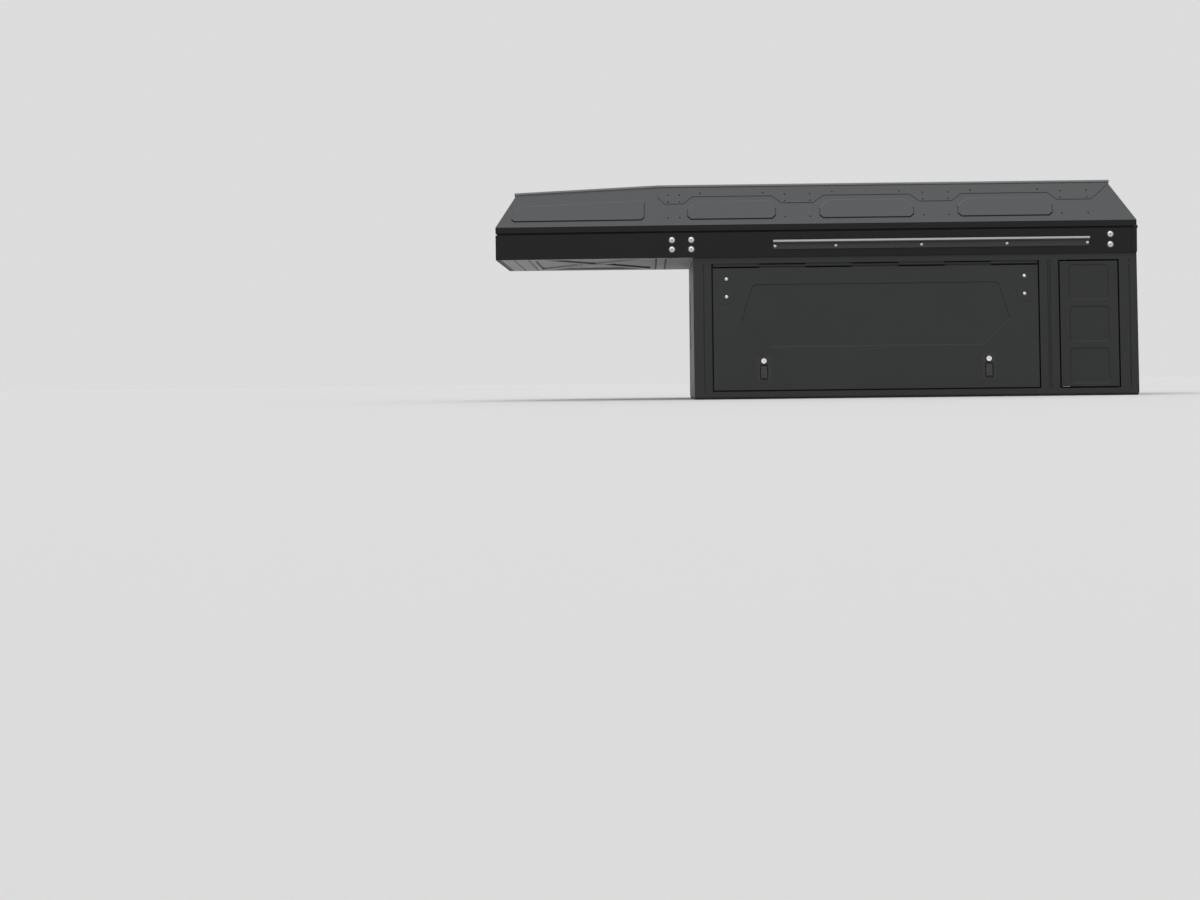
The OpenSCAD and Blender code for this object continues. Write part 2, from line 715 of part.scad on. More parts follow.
// Floor over the cab, with four triangles pressed up into it between the arms of a cross
module nose_floor() placed() color(slope_grey) difference() {
    inner = tent_half - band_t;
    w = nose_half - band_t + band_t * nose_taper / crease_x;
    translate([0, 0, canopy_h]) linear_extrude(floor_t) polygon([
        [band_t, -w], [crease_x, -inner], [nose_l, -inner], [nose_l, inner], [crease_x, inner], [band_t, w]
    ]);
    translate([cross_x, 0, canopy_h - fuse]) linear_extrude(floor_press + fuse) {
        for (s = [-1, 1]) {
            polygon([[s * cross_arm, 0], [s * cross_l, cross_w - cross_arm], [s * cross_l, -cross_w + cross_arm]]);
            polygon([[0, s * cross_arm], [cross_l - cross_arm, s * cross_w], [-cross_l + cross_arm, s * cross_w]]);
        }
    }
}

module tent_floor() placed() color(slope_grey)
    translate([nose_l, -tent_half + band_t, canopy_h])
        cube([canopy_l - band_t, 2 * (tent_half - band_t), floor_t]);

module awning_rails() placed() color(band_dark) {
    awning_rail();
    on_right() awning_rail();
}

module door_seals() placed() color(rubber_black) {
    side_seal();
    on_right() side_seal();
    on_rear() rear_seal();
}

module lid_seal() placed() color(rubber_black) translate([0, 0, tent_z1]) linear_extrude(seal_h - seal_clear)
    difference() {
        polygon(tent_plan(seal_in));
        polygon(tent_plan(seal_in + seal_w));
    }

module fixed_hinges() placed() color(band_dark) {
    for (side = [0, 1]) mirror([0, side, 0]) translate([0, -base_w / 2, 0]) rotate([-lean, 0, 0])
        fixed_leaf(door_x0, door_w, hinge_n, up(hinge_z), up(rail_z));
    on_rear() fixed_leaf(-rear_hinge_l / 2, rear_hinge_l, hinge_n, hinge_z, rail_z);
    union() {
        nose_knuckles(0);
        nose_blocks(0, tent_z1);
        translate([nose_hinge_x, -nose_hinge_l / 2, nose_hinge_z]) rotate([-90, 0, 0])
            cylinder(r = nose_pin_r, h = nose_hinge_l);
    }
}

// Keepers under the catches, each on a tapered gusset
module tent_latches() placed() color(band_dark)
    for (side = [-1, 1]) translate([tent_l, side * catch_y - catch_w / 2, 0]) rotate([90, 0, 0])
        mirror([0, 0, 1]) linear_extrude(catch_w) polygon([
            [0, keeper_z0], [catch_foot, keeper_z0 + 4], [catch_out - 4, keeper_z1 - 12],
            [catch_out - 4, keeper_z1], [0, keeper_z1]
        ]);

module lid_catches() placed() color(band_dark)
    for (side = [-1, 1]) translate([tent_l, side * catch_y - catch_w / 2, lid_z0])
        cube([catch_out, catch_w, catch_h]);

// Roof panel of two flat areas that meet at the crease
module lid_top() placed() color(slope_grey) {
    a = roof_edge(main_top);
    b = roof_edge(nose_top);
    crease = [for (p = a) crease_point(p[0], p[1])];
    rear = [for (p = a) rear_point(p[0], p[1])];
    nose = [for (p = b) nose_point(p[0], p[1])];
    loft([concat(crease, [right_of(crease[1]), right_of(crease[0])]),
        concat(rear, [right_of(rear[1]), right_of(rear[0])])]);
    loft([concat(nose, [right_of(nose[1]), right_of(nose[0])]),
        concat(crease, [right_of(crease[1]), right_of(crease[0])])]);
}

module lid_left_side() placed() color(slope_grey) lid_side();
module lid_right_side() placed() color(slope_grey) on_right() lid_side();

module lid_front() placed() color(slope_grey) {
    left = [for (i = [5:-1:0]) nose_point(slab(nose_top)[i][0], slab(nose_top)[i][1])];
    loft([left, [for (p = left) right_of(p)]]);
}

module lid_rear() placed() color(slope_grey) union() {
    left = [for (p = slab(main_top)) rear_point(p[0], p[1])];
    loft([left, [for (p = left) right_of(p)]]);
    on_rear_slope() raised(window(-rear_window, rear_window, sl(849), sl(894), 12, 25), window_out);
}

module roof_laps() placed() color(slope_grey) {
    side_lap();
    on_right() side_lap();
}

module roof_edge_bars() placed() color(band_dark) {
    edge_bar();
    on_right() edge_bar();
}

module lid_hinge() placed() color(band_dark) difference() {
    union() {
        nose_knuckles(1);
        nose_blocks(1, nose_hinge_z);
    }
    translate([nose_hinge_x, -nose_hinge_l, nose_hinge_z]) rotate([-90, 0, 0])
        cylinder(r = nose_pin_r + pin_clear, h = 2 * nose_hinge_l);
}

module left_door() placed() color(body_dark) side_door();
module right_door() placed() color(body_dark) on_right() side_door();
module rear_door() placed() color(body_dark) on_rear() rear_panel_door();

module left_door_hinge() placed() color(band_dark)
    on_wall() moving_leaf(door_x0, door_w, hinge_n, up(hinge_z), up(door_z1) + leaf_seat);
module right_door_hinge() placed() color(band_dark)
    on_right() on_wall() moving_leaf(door_x0, door_w, hinge_n, up(hinge_z), up(door_z1) + leaf_seat);
module rear_door_hinge() placed() color(band_dark)
    on_rear() moving_leaf(-rear_hinge_l / 2, rear_hinge_l, hinge_n, hinge_z, door_z1);

module left_latch_trays() placed() color(rubber_black) on_wall() for (x = side_latches) latch_tray(x);
module right_latch_trays() placed() color(rubber_black)
    on_right() on_wall() for (x = side_latches) latch_tray(x);
module rear_latch_tray() placed() color(rubber_black) on_rear() latch_tray(0);

module left_front_lever() placed() color(body_dark) on_wall() latch_lever(side_latches[0]);
module left_rear_lever() placed() color(body_dark) on_wall() latch_lever(side_latches[1]);
module right_front_lever() placed() color(body_dark) on_right() on_wall() latch_lever(side_latches[0]);
module right_rear_lever() placed() color(body_dark) on_right() on_wall() latch_lever(side_latches[1]);
module rear_lever() placed() color(body_dark) on_rear() latch_lever(0);

base_gasket();
left_sill();
right_sill();
end_sills();
left_front_post();
left_centre_post();
left_rear_post();
right_front_post();
right_centre_post();
right_rear_post();
left_top_rail();
right_top_rail();
front_wall();
left_rear_panel();
right_rear_panel();
rear_header();
tent_left_side();
tent_right_side();
tent_front();
tent_rear();
nose_floor();
tent_floor();
awning_rails();
door_seals();
lid_seal();
fixed_hinges();
tent_latches();
lid_top();
lid_left_side();
lid_right_side();
lid_front();
lid_rear();
roof_laps();
roof_edge_bars();
lid_hinge();
lid_catches();
left_door();
left_door_hinge();
left_latch_trays();
left_front_lever();
left_rear_lever();
right_door();
right_door_hinge();
right_latch_trays();
right_front_lever();
right_rear_lever();
rear_door();
rear_door_hinge();
rear_latch_tray();
rear_lever();
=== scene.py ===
"""Pickup canopy with a wedge roof tent: finish, fasteners, stage and camera. Metres throughout."""
import math

import bmesh
import bpy
from mathutils import Matrix, Vector


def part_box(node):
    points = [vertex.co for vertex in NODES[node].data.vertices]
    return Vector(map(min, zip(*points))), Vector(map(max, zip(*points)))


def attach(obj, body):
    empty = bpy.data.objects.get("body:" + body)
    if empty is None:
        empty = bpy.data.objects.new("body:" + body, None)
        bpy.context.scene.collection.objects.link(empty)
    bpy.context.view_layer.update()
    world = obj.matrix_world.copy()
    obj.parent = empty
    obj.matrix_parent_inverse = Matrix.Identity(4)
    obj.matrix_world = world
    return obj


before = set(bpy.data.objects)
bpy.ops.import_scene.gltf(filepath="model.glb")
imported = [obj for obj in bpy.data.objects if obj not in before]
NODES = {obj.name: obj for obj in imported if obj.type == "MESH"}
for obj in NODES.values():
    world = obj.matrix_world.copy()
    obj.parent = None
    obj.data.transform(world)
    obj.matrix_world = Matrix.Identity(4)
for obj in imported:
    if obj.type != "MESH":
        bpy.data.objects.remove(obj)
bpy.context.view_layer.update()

# Camera, at the photograph's place
CAMERA_PLACE = Vector((-0.7992, -15.1018, 0.0983))
CAMERA_YAW = math.radians(0.906)
CAMERA_PITCH = math.radians(-1.300)
CAMERA_ROLL = math.radians(-0.659)
IMAGE_WIDTH = 1200
FOCAL_PIXELS = 3103.4
SENSOR = 36.0
VIEW_DEPTH = 200

# Brightness of the backdrop, shared by the floor and by what the camera sees of the world
BACKDROP = 0.72
WORLD_STRENGTH = 0.45
FLOOR_HALF = 60

# The side walls lean in by the first angle, and the lid's slopes by the second
LEAN = math.radians(5)
SLOPE = math.radians(33)

# Distance from the nose to the crease, how far each side has turned in at the nose, lid flange's height
CREASE = 0.752
NOSE_TURN = 0.036
LID_FLANGE = 0.027

# Places worked out from the frame
NOSE_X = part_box("tent_left_side")[0].x
REAR_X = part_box("tent_left_side")[1].x
SILL_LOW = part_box("left_sill")[0]
BASE_HALF = -SILL_LOW.y + SILL_LOW.z * math.tan(LEAN)
TENT_HALF = -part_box("tent_left_side")[0].y
TENT_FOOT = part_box("tent_left_side")[0].z
FLANGE_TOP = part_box("lid_left_side")[0].z + LID_FLANGE
DOOR_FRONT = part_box("left_door")[0].x - NOSE_X
DOOR_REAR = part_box("left_door")[1].x - NOSE_X
FRONT_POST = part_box("left_front_post")[0].x - NOSE_X
REAR_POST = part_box("left_rear_post")[0].x - NOSE_X
AWNING_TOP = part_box("awning_rails")[1].z
AWNING_LIP = 0.0085

SIDES = (-1, 1)
DOOR_BODY = {-1: "left_side_door", 1: "right_side_door"}
SIDE_NAME = {-1: "left", 1: "right"}

# Fastener places: x in metres behind the nose, z above the bed rail, and how far out some of them sit
BAND_BOLTS = [(0.816, 0.737), (0.816, 0.694), (0.905, 0.737), (0.905, 0.694), (2.833, 0.741), (2.833, 0.694)]
AWNING_SCREW_X = [1.291, 1.571, 1.965, 2.358, 2.727]
AWNING_SCREW_Z = 0.705
AWNING_WEB = 0.004
POST_PLUGS = [(FRONT_POST + 0.062, 0.612), (FRONT_POST + 0.062, 0.596),
              (REAR_POST + 0.064, 0.606), (2.554, 0.606)]
SILL_SCREW_X = [0.96, 1.30, 1.75, 2.20, 2.90]
SILL_SCREW_Z = 0.0225
PAD_BOLT_IN = 0.062
PAD_BOLT_Z = (0.554, 0.472)
PAD_THICK = 0.0015

# Latches: distance from the door's edge, heights of lock and lever dot, depth of the dot's foot
LATCH_IN = 0.230
LOCK_Z = 0.175
LEVER_DOT_Z = 0.112
LEVER_DEPTH = 0.0004

# Tabs of the lapped roof skin, the rivets between them, and the rivets' heights over the lid's flange
LAP_TABS = [(0.784, 0.869), (1.325, 1.473), (1.963, 2.112), (2.598, 2.752)]
LAP_BETWEEN = [(0.95, 1.24), (1.56, 1.87), (2.20, 2.51)]
LAP_THICK = 0.0025
TAB_MARGIN = 0.016
TAB_RIVETS = (0.110, 0.142)
SHEET_RIVET = 0.036
BETWEEN_RIVET = 0.150

# Strut plates of the rear door: height of their foot, post beside them, distance in, bolt heights
PLATE_FOOT = 0.453
POST_DEPTH = 0.040
PLATE_IN = 0.070
PLATE_BOLT_Z = (0.474, 0.514)

# Keepers of the lid's catches: outer edge to middle, and the sizes of the strap and of its foot
KEEPER_HALF = 0.035
STRAP = (0.034, 0.030, 0.0022)
STRAP_FOOT = (0.003, 0.052, 0.020)

# Under the nose: rows of bolts as x, count, spacing and drop, and the cross seams beside the last two
NOSE_ROWS = [(0.085, 11, 0.124, 0.0), (0.150, 11, 0.124, 0.0),
             (0.742, 15, 0.095, 0.0015), (0.788, 15, 0.095, 0.0015)]
NOSE_SEAM_X = (0.725, 0.805)
NOSE_SEAM = (0.010, 1.44, 0.003)
NOSE_SEAM_DROP = 0.0008

# Corner covers of the tent base: distance in, height of their middle, sizes, how far they stand off
COVER_IN = 0.014
COVER_MIDDLE = 0.057
SIDE_COVER = (0.022, 0.003, 0.108)
REAR_COVER = (0.003, 0.026, 0.108)
SIDE_COVER_OUT = 0.0008
REAR_COVER_OUT = 0.0004


def wall_spot(x, z, side, out=0.0):
    """A place on a leaning side wall, x metres behind the nose, and the wall's outward direction."""
    normal = Vector((0, side * math.cos(LEAN), math.sin(LEAN)))
    foot = Vector((NOSE_X + x, side * (BASE_HALF - z * math.tan(LEAN)), z))
    return foot + normal * out, normal


def band_spot(x, z, side, out=0.0):
    """A place on the upright side of the tent base."""
    half = TENT_HALF - max(0, CREASE - x) * NOSE_TURN / CREASE
    return Vector((NOSE_X + x, side * (half + out), z)), Vector((0, side, 0))


def slope_spot(x, rise, side, out=0.0):
    """A place on the lid's sloping side behind the crease, at a rise over the flange."""
    normal = Vector((0, side * math.cos(SLOPE), math.sin(SLOPE)))
    half = TENT_HALF - rise * math.tan(SLOPE)
    return Vector((NOSE_X + x, side * half, FLANGE_TOP + rise)) + normal * out, normal


def rear_spot(y, z, out=0.0):
    """A place on the rear wall."""
    return Vector((REAR_X + out, y, z)), Vector((1, 0, 0))


def node_tree(name):
    """A new material with its node tree and its shader."""
    material = bpy.data.materials.new(name)
    material.use_nodes = True
    tree = material.node_tree
    return material, tree, tree.nodes["Principled BSDF"]


def add(tree, kind, **values):
    """A new node of a kind, with its settings."""
    node = tree.nodes.new(kind)
    for key, value in values.items():
        setattr(node, key, value)
    return node


def object_coords(tree):
    """Coordinates on the object itself."""
    return add(tree, "ShaderNodeTexCoord").outputs["Object"]


def noise(tree, coords, scale, detail=3.0, rough=0.55):
    """Value of a noise over the object."""
    texture = add(tree, "ShaderNodeTexNoise")
    texture.inputs["Scale"].default_value = scale
    texture.inputs["Detail"].default_value = detail
    texture.inputs["Roughness"].default_value = rough
    tree.links.new(coords, texture.inputs["Vector"])
    return texture.outputs["Fac"]


def ramp(tree, value, low, high, start=0.35, end=0.65):
    """Colour between low and high as the value goes from start to end."""
    colours = add(tree, "ShaderNodeValToRGB")
    colours.color_ramp.elements[0].position = start
    colours.color_ramp.elements[1].position = end
    colours.color_ramp.elements[0].color = (*low, 1)
    colours.color_ramp.elements[1].color = (*high, 1)
    tree.links.new(value, colours.inputs["Fac"])
    return colours.outputs["Color"]


def remap(tree, value, to, start=0.0, end=1.0):
    """Value between the two numbers in to, as the input goes from start to end."""
    mapped = add(tree, "ShaderNodeMapRange")
    mapped.inputs["From Min"].default_value = start
    mapped.inputs["From Max"].default_value = end
    mapped.inputs["To Min"].default_value = to[0]
    mapped.inputs["To Max"].default_value = to[1]
    tree.links.new(value, mapped.inputs["Value"])
    return mapped.outputs["Result"]


def mix_colour(tree, factor, first, second, blend="MIX"):
    """Mix of two colours; the factor and the second colour are each a link or a plain value."""
    node = add(tree, "ShaderNodeMix", data_type="RGBA", blend_type=blend)
    tree.links.new(first, node.inputs["A"])
    for socket, value in (("Factor", factor), ("B", second)):
        if isinstance(value, bpy.types.NodeSocket):
            tree.links.new(value, node.inputs[socket])
        else:
            node.inputs[socket].default_value = value
    return node.outputs["Result"]


def bump(tree, shader, height, distance, strength=0.5):
    """Fine relief on a shader."""
    node = add(tree, "ShaderNodeBump")
    node.inputs["Distance"].default_value = distance
    node.inputs["Strength"].default_value = strength
    tree.links.new(height, node.inputs["Height"])
    tree.links.new(node.outputs["Normal"], shader.inputs["Normal"])


def shade(colour, factor):
    """A colour made lighter or darker."""
    return tuple(min(1.0, c * factor) for c in colour)


# Pale grey of the painted sky sheen on faces that look up
PAINTED_SHEEN_COLOUR = (0.30, 0.31, 0.32, 1)


def coat(name, colour, rough, specular, painted_sheen=0.0):
    """Fine-textured powder coat: mottled colour, a grain that scatters light, and painted sky sheen that
    lightens faces that look up.
    """
    material, tree, shader = node_tree(name)
    place = add(tree, "ShaderNodeTexCoord")
    cloud = noise(tree, place.outputs["Object"], scale=2.2, detail=5)
    speck = noise(tree, place.outputs["Object"], scale=1100, detail=2, rough=0.6)
    mottled = ramp(tree, cloud, shade(colour, 0.86), shade(colour, 1.14), 0.3, 0.7)
    grain = ramp(tree, speck, (0.7, 0.7, 0.7), (1, 1, 1))
    finish = mix_colour(tree, 0.35, mottled, grain, "MULTIPLY")
    # Painted sheen: the more a face looks up, the more its colour is mixed towards pale grey
    if painted_sheen:
        facing = add(tree, "ShaderNodeSeparateXYZ")
        tree.links.new(place.outputs["Normal"], facing.inputs["Vector"])
        sheen_amount = remap(tree, facing.outputs["Z"], (0, painted_sheen), 0.25, 0.75)
        finish = mix_colour(tree, sheen_amount, finish, PAINTED_SHEEN_COLOUR)
    tree.links.new(finish, shader.inputs["Base Color"])
    tree.links.new(remap(tree, cloud, (rough - 0.06, rough + 0.08)), shader.inputs["Roughness"])
    shader.inputs["Specular IOR Level"].default_value = specular
    bump(tree, shader, speck, distance=0.00025)
    return material


def rubber(name, colour):
    """Seal rubber, greyed in patches."""
    material, tree, shader = node_tree(name)
    coords = object_coords(tree)
    worn = noise(tree, coords, scale=14, detail=4)
    tree.links.new(ramp(tree, worn, shade(colour, 0.7), shade(colour, 1.7)), shader.inputs["Base Color"])
    tree.links.new(remap(tree, worn, (0.68, 0.88)), shader.inputs["Roughness"])
    shader.inputs["Specular IOR Level"].default_value = 0.25
    bump(tree, shader, noise(tree, coords, scale=420, detail=2), distance=0.0004)
    return material


def plastic(name, colour):
    """Moulded glass-filled plastic with a spark-eroded grain."""
    material, tree, shader = node_tree(name)
    coords = object_coords(tree)
    flow = noise(tree, coords, scale=9)
    tree.links.new(ramp(tree, flow, shade(colour, 0.85), shade(colour, 1.2)), shader.inputs["Base Color"])
    tree.links.new(remap(tree, flow, (0.42, 0.58)), shader.inputs["Roughness"])
    bump(tree, shader, noise(tree, coords, scale=1600, detail=2), distance=0.0003)
    return material


def bare_metal(name, colour, rough, brush=(1, 60, 60)):
    """Bare metal with drawn or turned lines in it."""
    material, tree, shader = node_tree(name)
    stretch = add(tree, "ShaderNodeMapping")
    stretch.inputs["Scale"].default_value = brush
    tree.links.new(object_coords(tree), stretch.inputs["Vector"])
    lines = noise(tree, stretch.outputs["Vector"], scale=30, detail=4)
    tree.links.new(ramp(tree, lines, shade(colour, 0.82), shade(colour, 1.08)), shader.inputs["Base Color"])
    tree.links.new(remap(tree, lines, (rough - 0.08, rough + 0.12)), shader.inputs["Roughness"])
    shader.inputs["Metallic"].default_value = 1.0
    bump(tree, shader, lines, distance=0.0001, strength=0.3)
    return material


def rail_metal(name, edge_z, dark, bright):
    """Black coated rail whose lip, above edge_z at rest, is bright drawn aluminium."""
    material, tree, shader = node_tree(name)
    coords = object_coords(tree)
    height = add(tree, "ShaderNodeSeparateXYZ")
    tree.links.new(coords, height.inputs["Vector"])
    above = add(tree, "ShaderNodeMath", operation="GREATER_THAN")
    above.inputs[1].default_value = edge_z
    tree.links.new(height.outputs["Z"], above.inputs[0])
    lines = noise(tree, coords, scale=240)
    coated = ramp(tree, lines, shade(dark, 0.85), shade(dark, 1.15))
    drawn = ramp(tree, lines, shade(bright, 0.88), shade(bright, 1.05))
    tree.links.new(mix_colour(tree, above.outputs["Value"], coated, drawn), shader.inputs["Base Color"])
    tree.links.new(remap(tree, lines, (0.38, 0.52)), shader.inputs["Roughness"])
    bump(tree, shader, lines, distance=0.0001, strength=0.3)
    return material


FRAME_PAINT = coat("frame_paint", (0.0165, 0.0173, 0.0178), rough=0.5, specular=0.3)
DOOR_PAINT = coat("door_paint", (0.0195, 0.0205, 0.0212), rough=0.5, specular=0.3)
BAND_PAINT = coat("band_paint", (0.0075, 0.0077, 0.0079), rough=0.52, specular=0.2)
# The lid and the roof edge bars carry painted sky sheen on faces that look up
LID_PAINT = coat("lid_paint", (0.006, 0.0062, 0.0065), rough=0.5, specular=0.22, painted_sheen=0.45)
# The bars' pale grey is a painted highlight: their black coated edge catching light
BAR_HIGHLIGHT_PAINT = coat("bar_painted_highlight", (0.19, 0.193, 0.197), rough=0.42, specular=0.4, painted_sheen=0.3)
# The floors' pale grey is painted light: bounced light under the nose, put into the black coat's colour
FLOOR_BOUNCE_PAINT = coat("floor_painted_bounce", (0.27, 0.273, 0.277), rough=0.5, specular=0.3)
HINGE_PAINT = coat("hinge_paint", (0.012, 0.012, 0.0125), rough=0.4, specular=0.3)
SEAL_RUBBER = rubber("seal_rubber", (0.012, 0.012, 0.012))
LATCH_PLASTIC = plastic("latch_plastic", (0.007, 0.007, 0.0073))
LEVER_PLASTIC = plastic("lever_plastic", (0.018, 0.018, 0.0185))
STAINLESS = bare_metal("stainless", (0.62, 0.62, 0.61), rough=0.28)
BLACK_SCREW = plastic("black_screw", (0.01, 0.01, 0.01))
LIP_FOOT = AWNING_TOP - AWNING_LIP
AWNING_METAL = rail_metal("awning_metal", LIP_FOOT, (0.012, 0.012, 0.0125), (0.46, 0.46, 0.46))

# Finish of the nodes; the frame's own paint is on every node that isn't named here
NODES_OF = [
    (SEAL_RUBBER, ("base_gasket", "door_seals", "lid_seal")),
    (BAND_PAINT, ("tent_left_side", "tent_right_side", "tent_front", "tent_rear")),
    (BAND_PAINT, ("tent_latches", "lid_catches")),
    (FLOOR_BOUNCE_PAINT, ("nose_floor", "tent_floor")),
    (AWNING_METAL, ("awning_rails",)),
    (HINGE_PAINT, ("fixed_hinges", "lid_hinge", "left_door_hinge", "right_door_hinge", "rear_door_hinge")),
    (LID_PAINT, ("lid_top", "lid_left_side", "lid_right_side", "lid_front", "lid_rear", "roof_laps")),
    (BAR_HIGHLIGHT_PAINT, ("roof_edge_bars",)),
    (DOOR_PAINT, ("left_door", "right_door", "rear_door")),
    (LATCH_PLASTIC, ("left_latch_trays", "right_latch_trays", "rear_latch_tray")),
    (LEVER_PLASTIC, ("left_front_lever", "left_rear_lever", "right_front_lever", "right_rear_lever")),
    (LEVER_PLASTIC, ("rear_lever",)),
]
PAINT_OF = {name: paint for paint, names in NODES_OF for name in names}

# Softened edges, and the angle past which an edge is softened or kept sharp
EDGE_WIDTH = 0.0016
EDGE_WIDTH_OF = {"base_gasket": 0.002, "roof_laps": 0.0008, "lid_hinge": 0.0005}
BEVEL_ANGLE = math.radians(28)
SPLIT_ANGLE = math.radians(40)


def dress_nodes():
    """Gives every solid its finish and softened edges."""
    for name, node in NODES.items():
        node.data.materials.clear()
        node.data.materials.append(PAINT_OF.get(name, FRAME_PAINT))
        for face in node.data.polygons:
            face.material_index = 0
        edge = node.modifiers.new("edge", "BEVEL")
        edge.width = EDGE_WIDTH_OF.get(name, EDGE_WIDTH)
        edge.segments = 2
        edge.limit_method = "ANGLE"
        edge.angle_limit = BEVEL_ANGLE
        edge.use_clamp_overlap = True
        edge.harden_normals = True


def piece(name, mesh, body, material, smooth=True):
    """Turns a bmesh into an object that rides on a body."""
    data = bpy.data.meshes.new(name)
    mesh.to_mesh(data)
    mesh.free()
    made = bpy.data.objects.new(name, data)
    bpy.context.scene.collection.objects.link(made)
    data.materials.append(material)
    for face in data.polygons:
        face.use_smooth = smooth
    if smooth:
        soft = made.modifiers.new("soft", "EDGE_SPLIT")
        soft.split_angle = SPLIT_ANGLE
    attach(made, body)


def turned(mesh, profile, place, normal, sides):
    """Adds a turned shape to a mesh; the profile is (radius, height) pairs from the top's centre outwards."""
    upright = Vector((0, 0, 1)).rotation_difference(normal).to_matrix()
    rings = []
    for radius, height in profile:
        angles = [2 * math.pi * k / sides for k in range(sides if radius else 1)]
        spots = [Vector((radius * math.cos(a), radius * math.sin(a), height)) for a in angles]
        rings.append([mesh.verts.new(place + upright @ spot) for spot in spots])
    for inner, outer in zip(rings, rings[1:]):
        for k in range(sides):
            after = (k + 1) % sides
            if len(inner) == 1:
                mesh.faces.new((inner[0], outer[k], outer[after]))
            else:
                mesh.faces.new((inner[k], outer[k], outer[after], inner[after]))
    mesh.faces.new(list(reversed(rings[-1])))


def button_head(radius, height, socket):
    """Profile of a button-head bolt with a round-bottomed socket."""
    crown = [(radius * math.sin(t), height * math.cos(t) ** 0.8) for t in (0.5, 0.8, 1.1, 1.35)]
    deep = height * 0.25
    rim = height * 0.93
    return [(0, deep), (socket, deep), (socket, rim), (socket * 1.12, rim + 0.0002), *crown, (radius, 0)]


def washer(radius, hole, thick):
    """Profile of a washer with a shallow seat round its hole."""
    seat = thick * 0.7
    return [(0, seat), (hole, seat), (radius * 0.94, thick), (radius, thick * 0.6), (radius, 0)]


def dome(radius, height):
    """Profile of a low rounded head."""
    return [(0, height), (radius * 0.5, height * 0.88), (radius * 0.85, height * 0.5), (radius, 0)]


BAND_WASHER = washer(radius=0.018, hole=0.012, thick=0.002)
BAND_BOLT = button_head(radius=0.0142, height=0.0065, socket=0.0036)
# Black disc on the socket's floor: painted shade of the socket's recess
BAND_SOCKET_SHADE = dome(radius=0.0034, height=0.0004)
AWNING_SCREW = button_head(radius=0.0075, height=0.0035, socket=0.002)
LAP_RIVET = dome(radius=0.0046, height=0.0018)
PAD_WASHER = washer(radius=0.011, hole=0.008, thick=0.0012)
PAD_BOLT = button_head(radius=0.0085, height=0.0045, socket=0.0024)
LOCK_COLLAR = washer(radius=0.0168, hole=0.0125, thick=0.0012)
LOCK_FACE = [(0, 0.0012), (0.0075, 0.0012), (0.0082, 0.002), (0.0118, 0.002), (0.0124, 0.001), (0.0124, 0)]
# Black strip on the lock face: painted shade of the keyway slot
KEYWAY_SHADE = (0.0016, 0.0009, 0.008)
LEVER_DOT = dome(radius=0.004, height=0.0012)
PLATE_BOLT = button_head(radius=0.009, height=0.004, socket=0.0032)
POST_PLUG = dome(radius=0.0042, height=0.0014)
SILL_SCREW = button_head(radius=0.005, height=0.0024, socket=0.0018)
NOSE_BOLT = dome(radius=0.0055, height=0.0024)

# How far parts of a fastener stand off what they sit on
BOLT_OVER_WASHER = 0.0018
SOCKET_SHADE_OVER_BAND = 0.0037
PAD_BOLT_OUT = 0.0025
COLLAR_OUT = 0.0002
FACE_OUT = 0.0004
KEYWAY_SHADE_OUT = 0.0019
SILL_SCREW_SUNK = 0.0018


def fasteners(name, body, spots, profile, material, sides=20):
    """One piece that holds the same turned fastener at every spot."""
    mesh = bmesh.new()
    for place, normal in spots:
        turned(mesh, profile, place, normal, sides)
    piece(name, mesh, body, material)


def strip(mesh, centre, size, turn=None):
    """Adds a bevelled flat bar to a mesh."""
    made = bmesh.ops.create_cube(mesh, size=1.0)
    upright = (turn or Matrix.Identity(3)).to_4x4()
    matrix = Matrix.Translation(centre) @ upright @ Matrix.Diagonal((*size, 1))
    bmesh.ops.transform(mesh, matrix=matrix, verts=made["verts"])
    edges = {edge for vert in made["verts"] for edge in vert.link_edges}
    bmesh.ops.bevel(mesh, geom=list(edges), offset=min(size) * 0.25, segments=2, affect="EDGES")


def tent_bolts(side):
    """Bolts on their washers through the tent base, black discs in their sockets as painted shade, and the
    screws of the awning rail.
    """
    name = SIDE_NAME[side]

    def band(out):
        return [band_spot(x, z, side, out) for x, z in BAND_BOLTS]

    fasteners(f"{name}_band_washers", "canopy", band(0), BAND_WASHER, BLACK_SCREW, 28)
    fasteners(f"{name}_band_bolts", "canopy", band(BOLT_OVER_WASHER), BAND_BOLT, STAINLESS, 28)
    socket_shades = band(SOCKET_SHADE_OVER_BAND)
    fasteners(f"{name}_band_socket_shades", "canopy", socket_shades, BAND_SOCKET_SHADE, BLACK_SCREW, 6)
    screws = [band_spot(x, AWNING_SCREW_Z, side, AWNING_WEB) for x in AWNING_SCREW_X]
    fasteners(f"{name}_awning_screws", "canopy", screws, AWNING_SCREW, STAINLESS)


def lap_rivets(side):
    """Blind rivets of the lapped roof skin and of the sheet below each tab."""
    spots = []
    for start, end in LAP_TABS:
        for x in (start + TAB_MARGIN, end - TAB_MARGIN):
            spots += [slope_spot(x, rise, side, LAP_THICK) for rise in TAB_RIVETS]
            spots.append(slope_spot(x, SHEET_RIVET, side))
    for pair in LAP_BETWEEN:
        spots += [slope_spot(x, BETWEEN_RIVET, side, LAP_THICK) for x in pair]
    fasteners(f"{SIDE_NAME[side]}_lap_rivets", "roof_lid", spots, LAP_RIVET, DOOR_PAINT, 14)


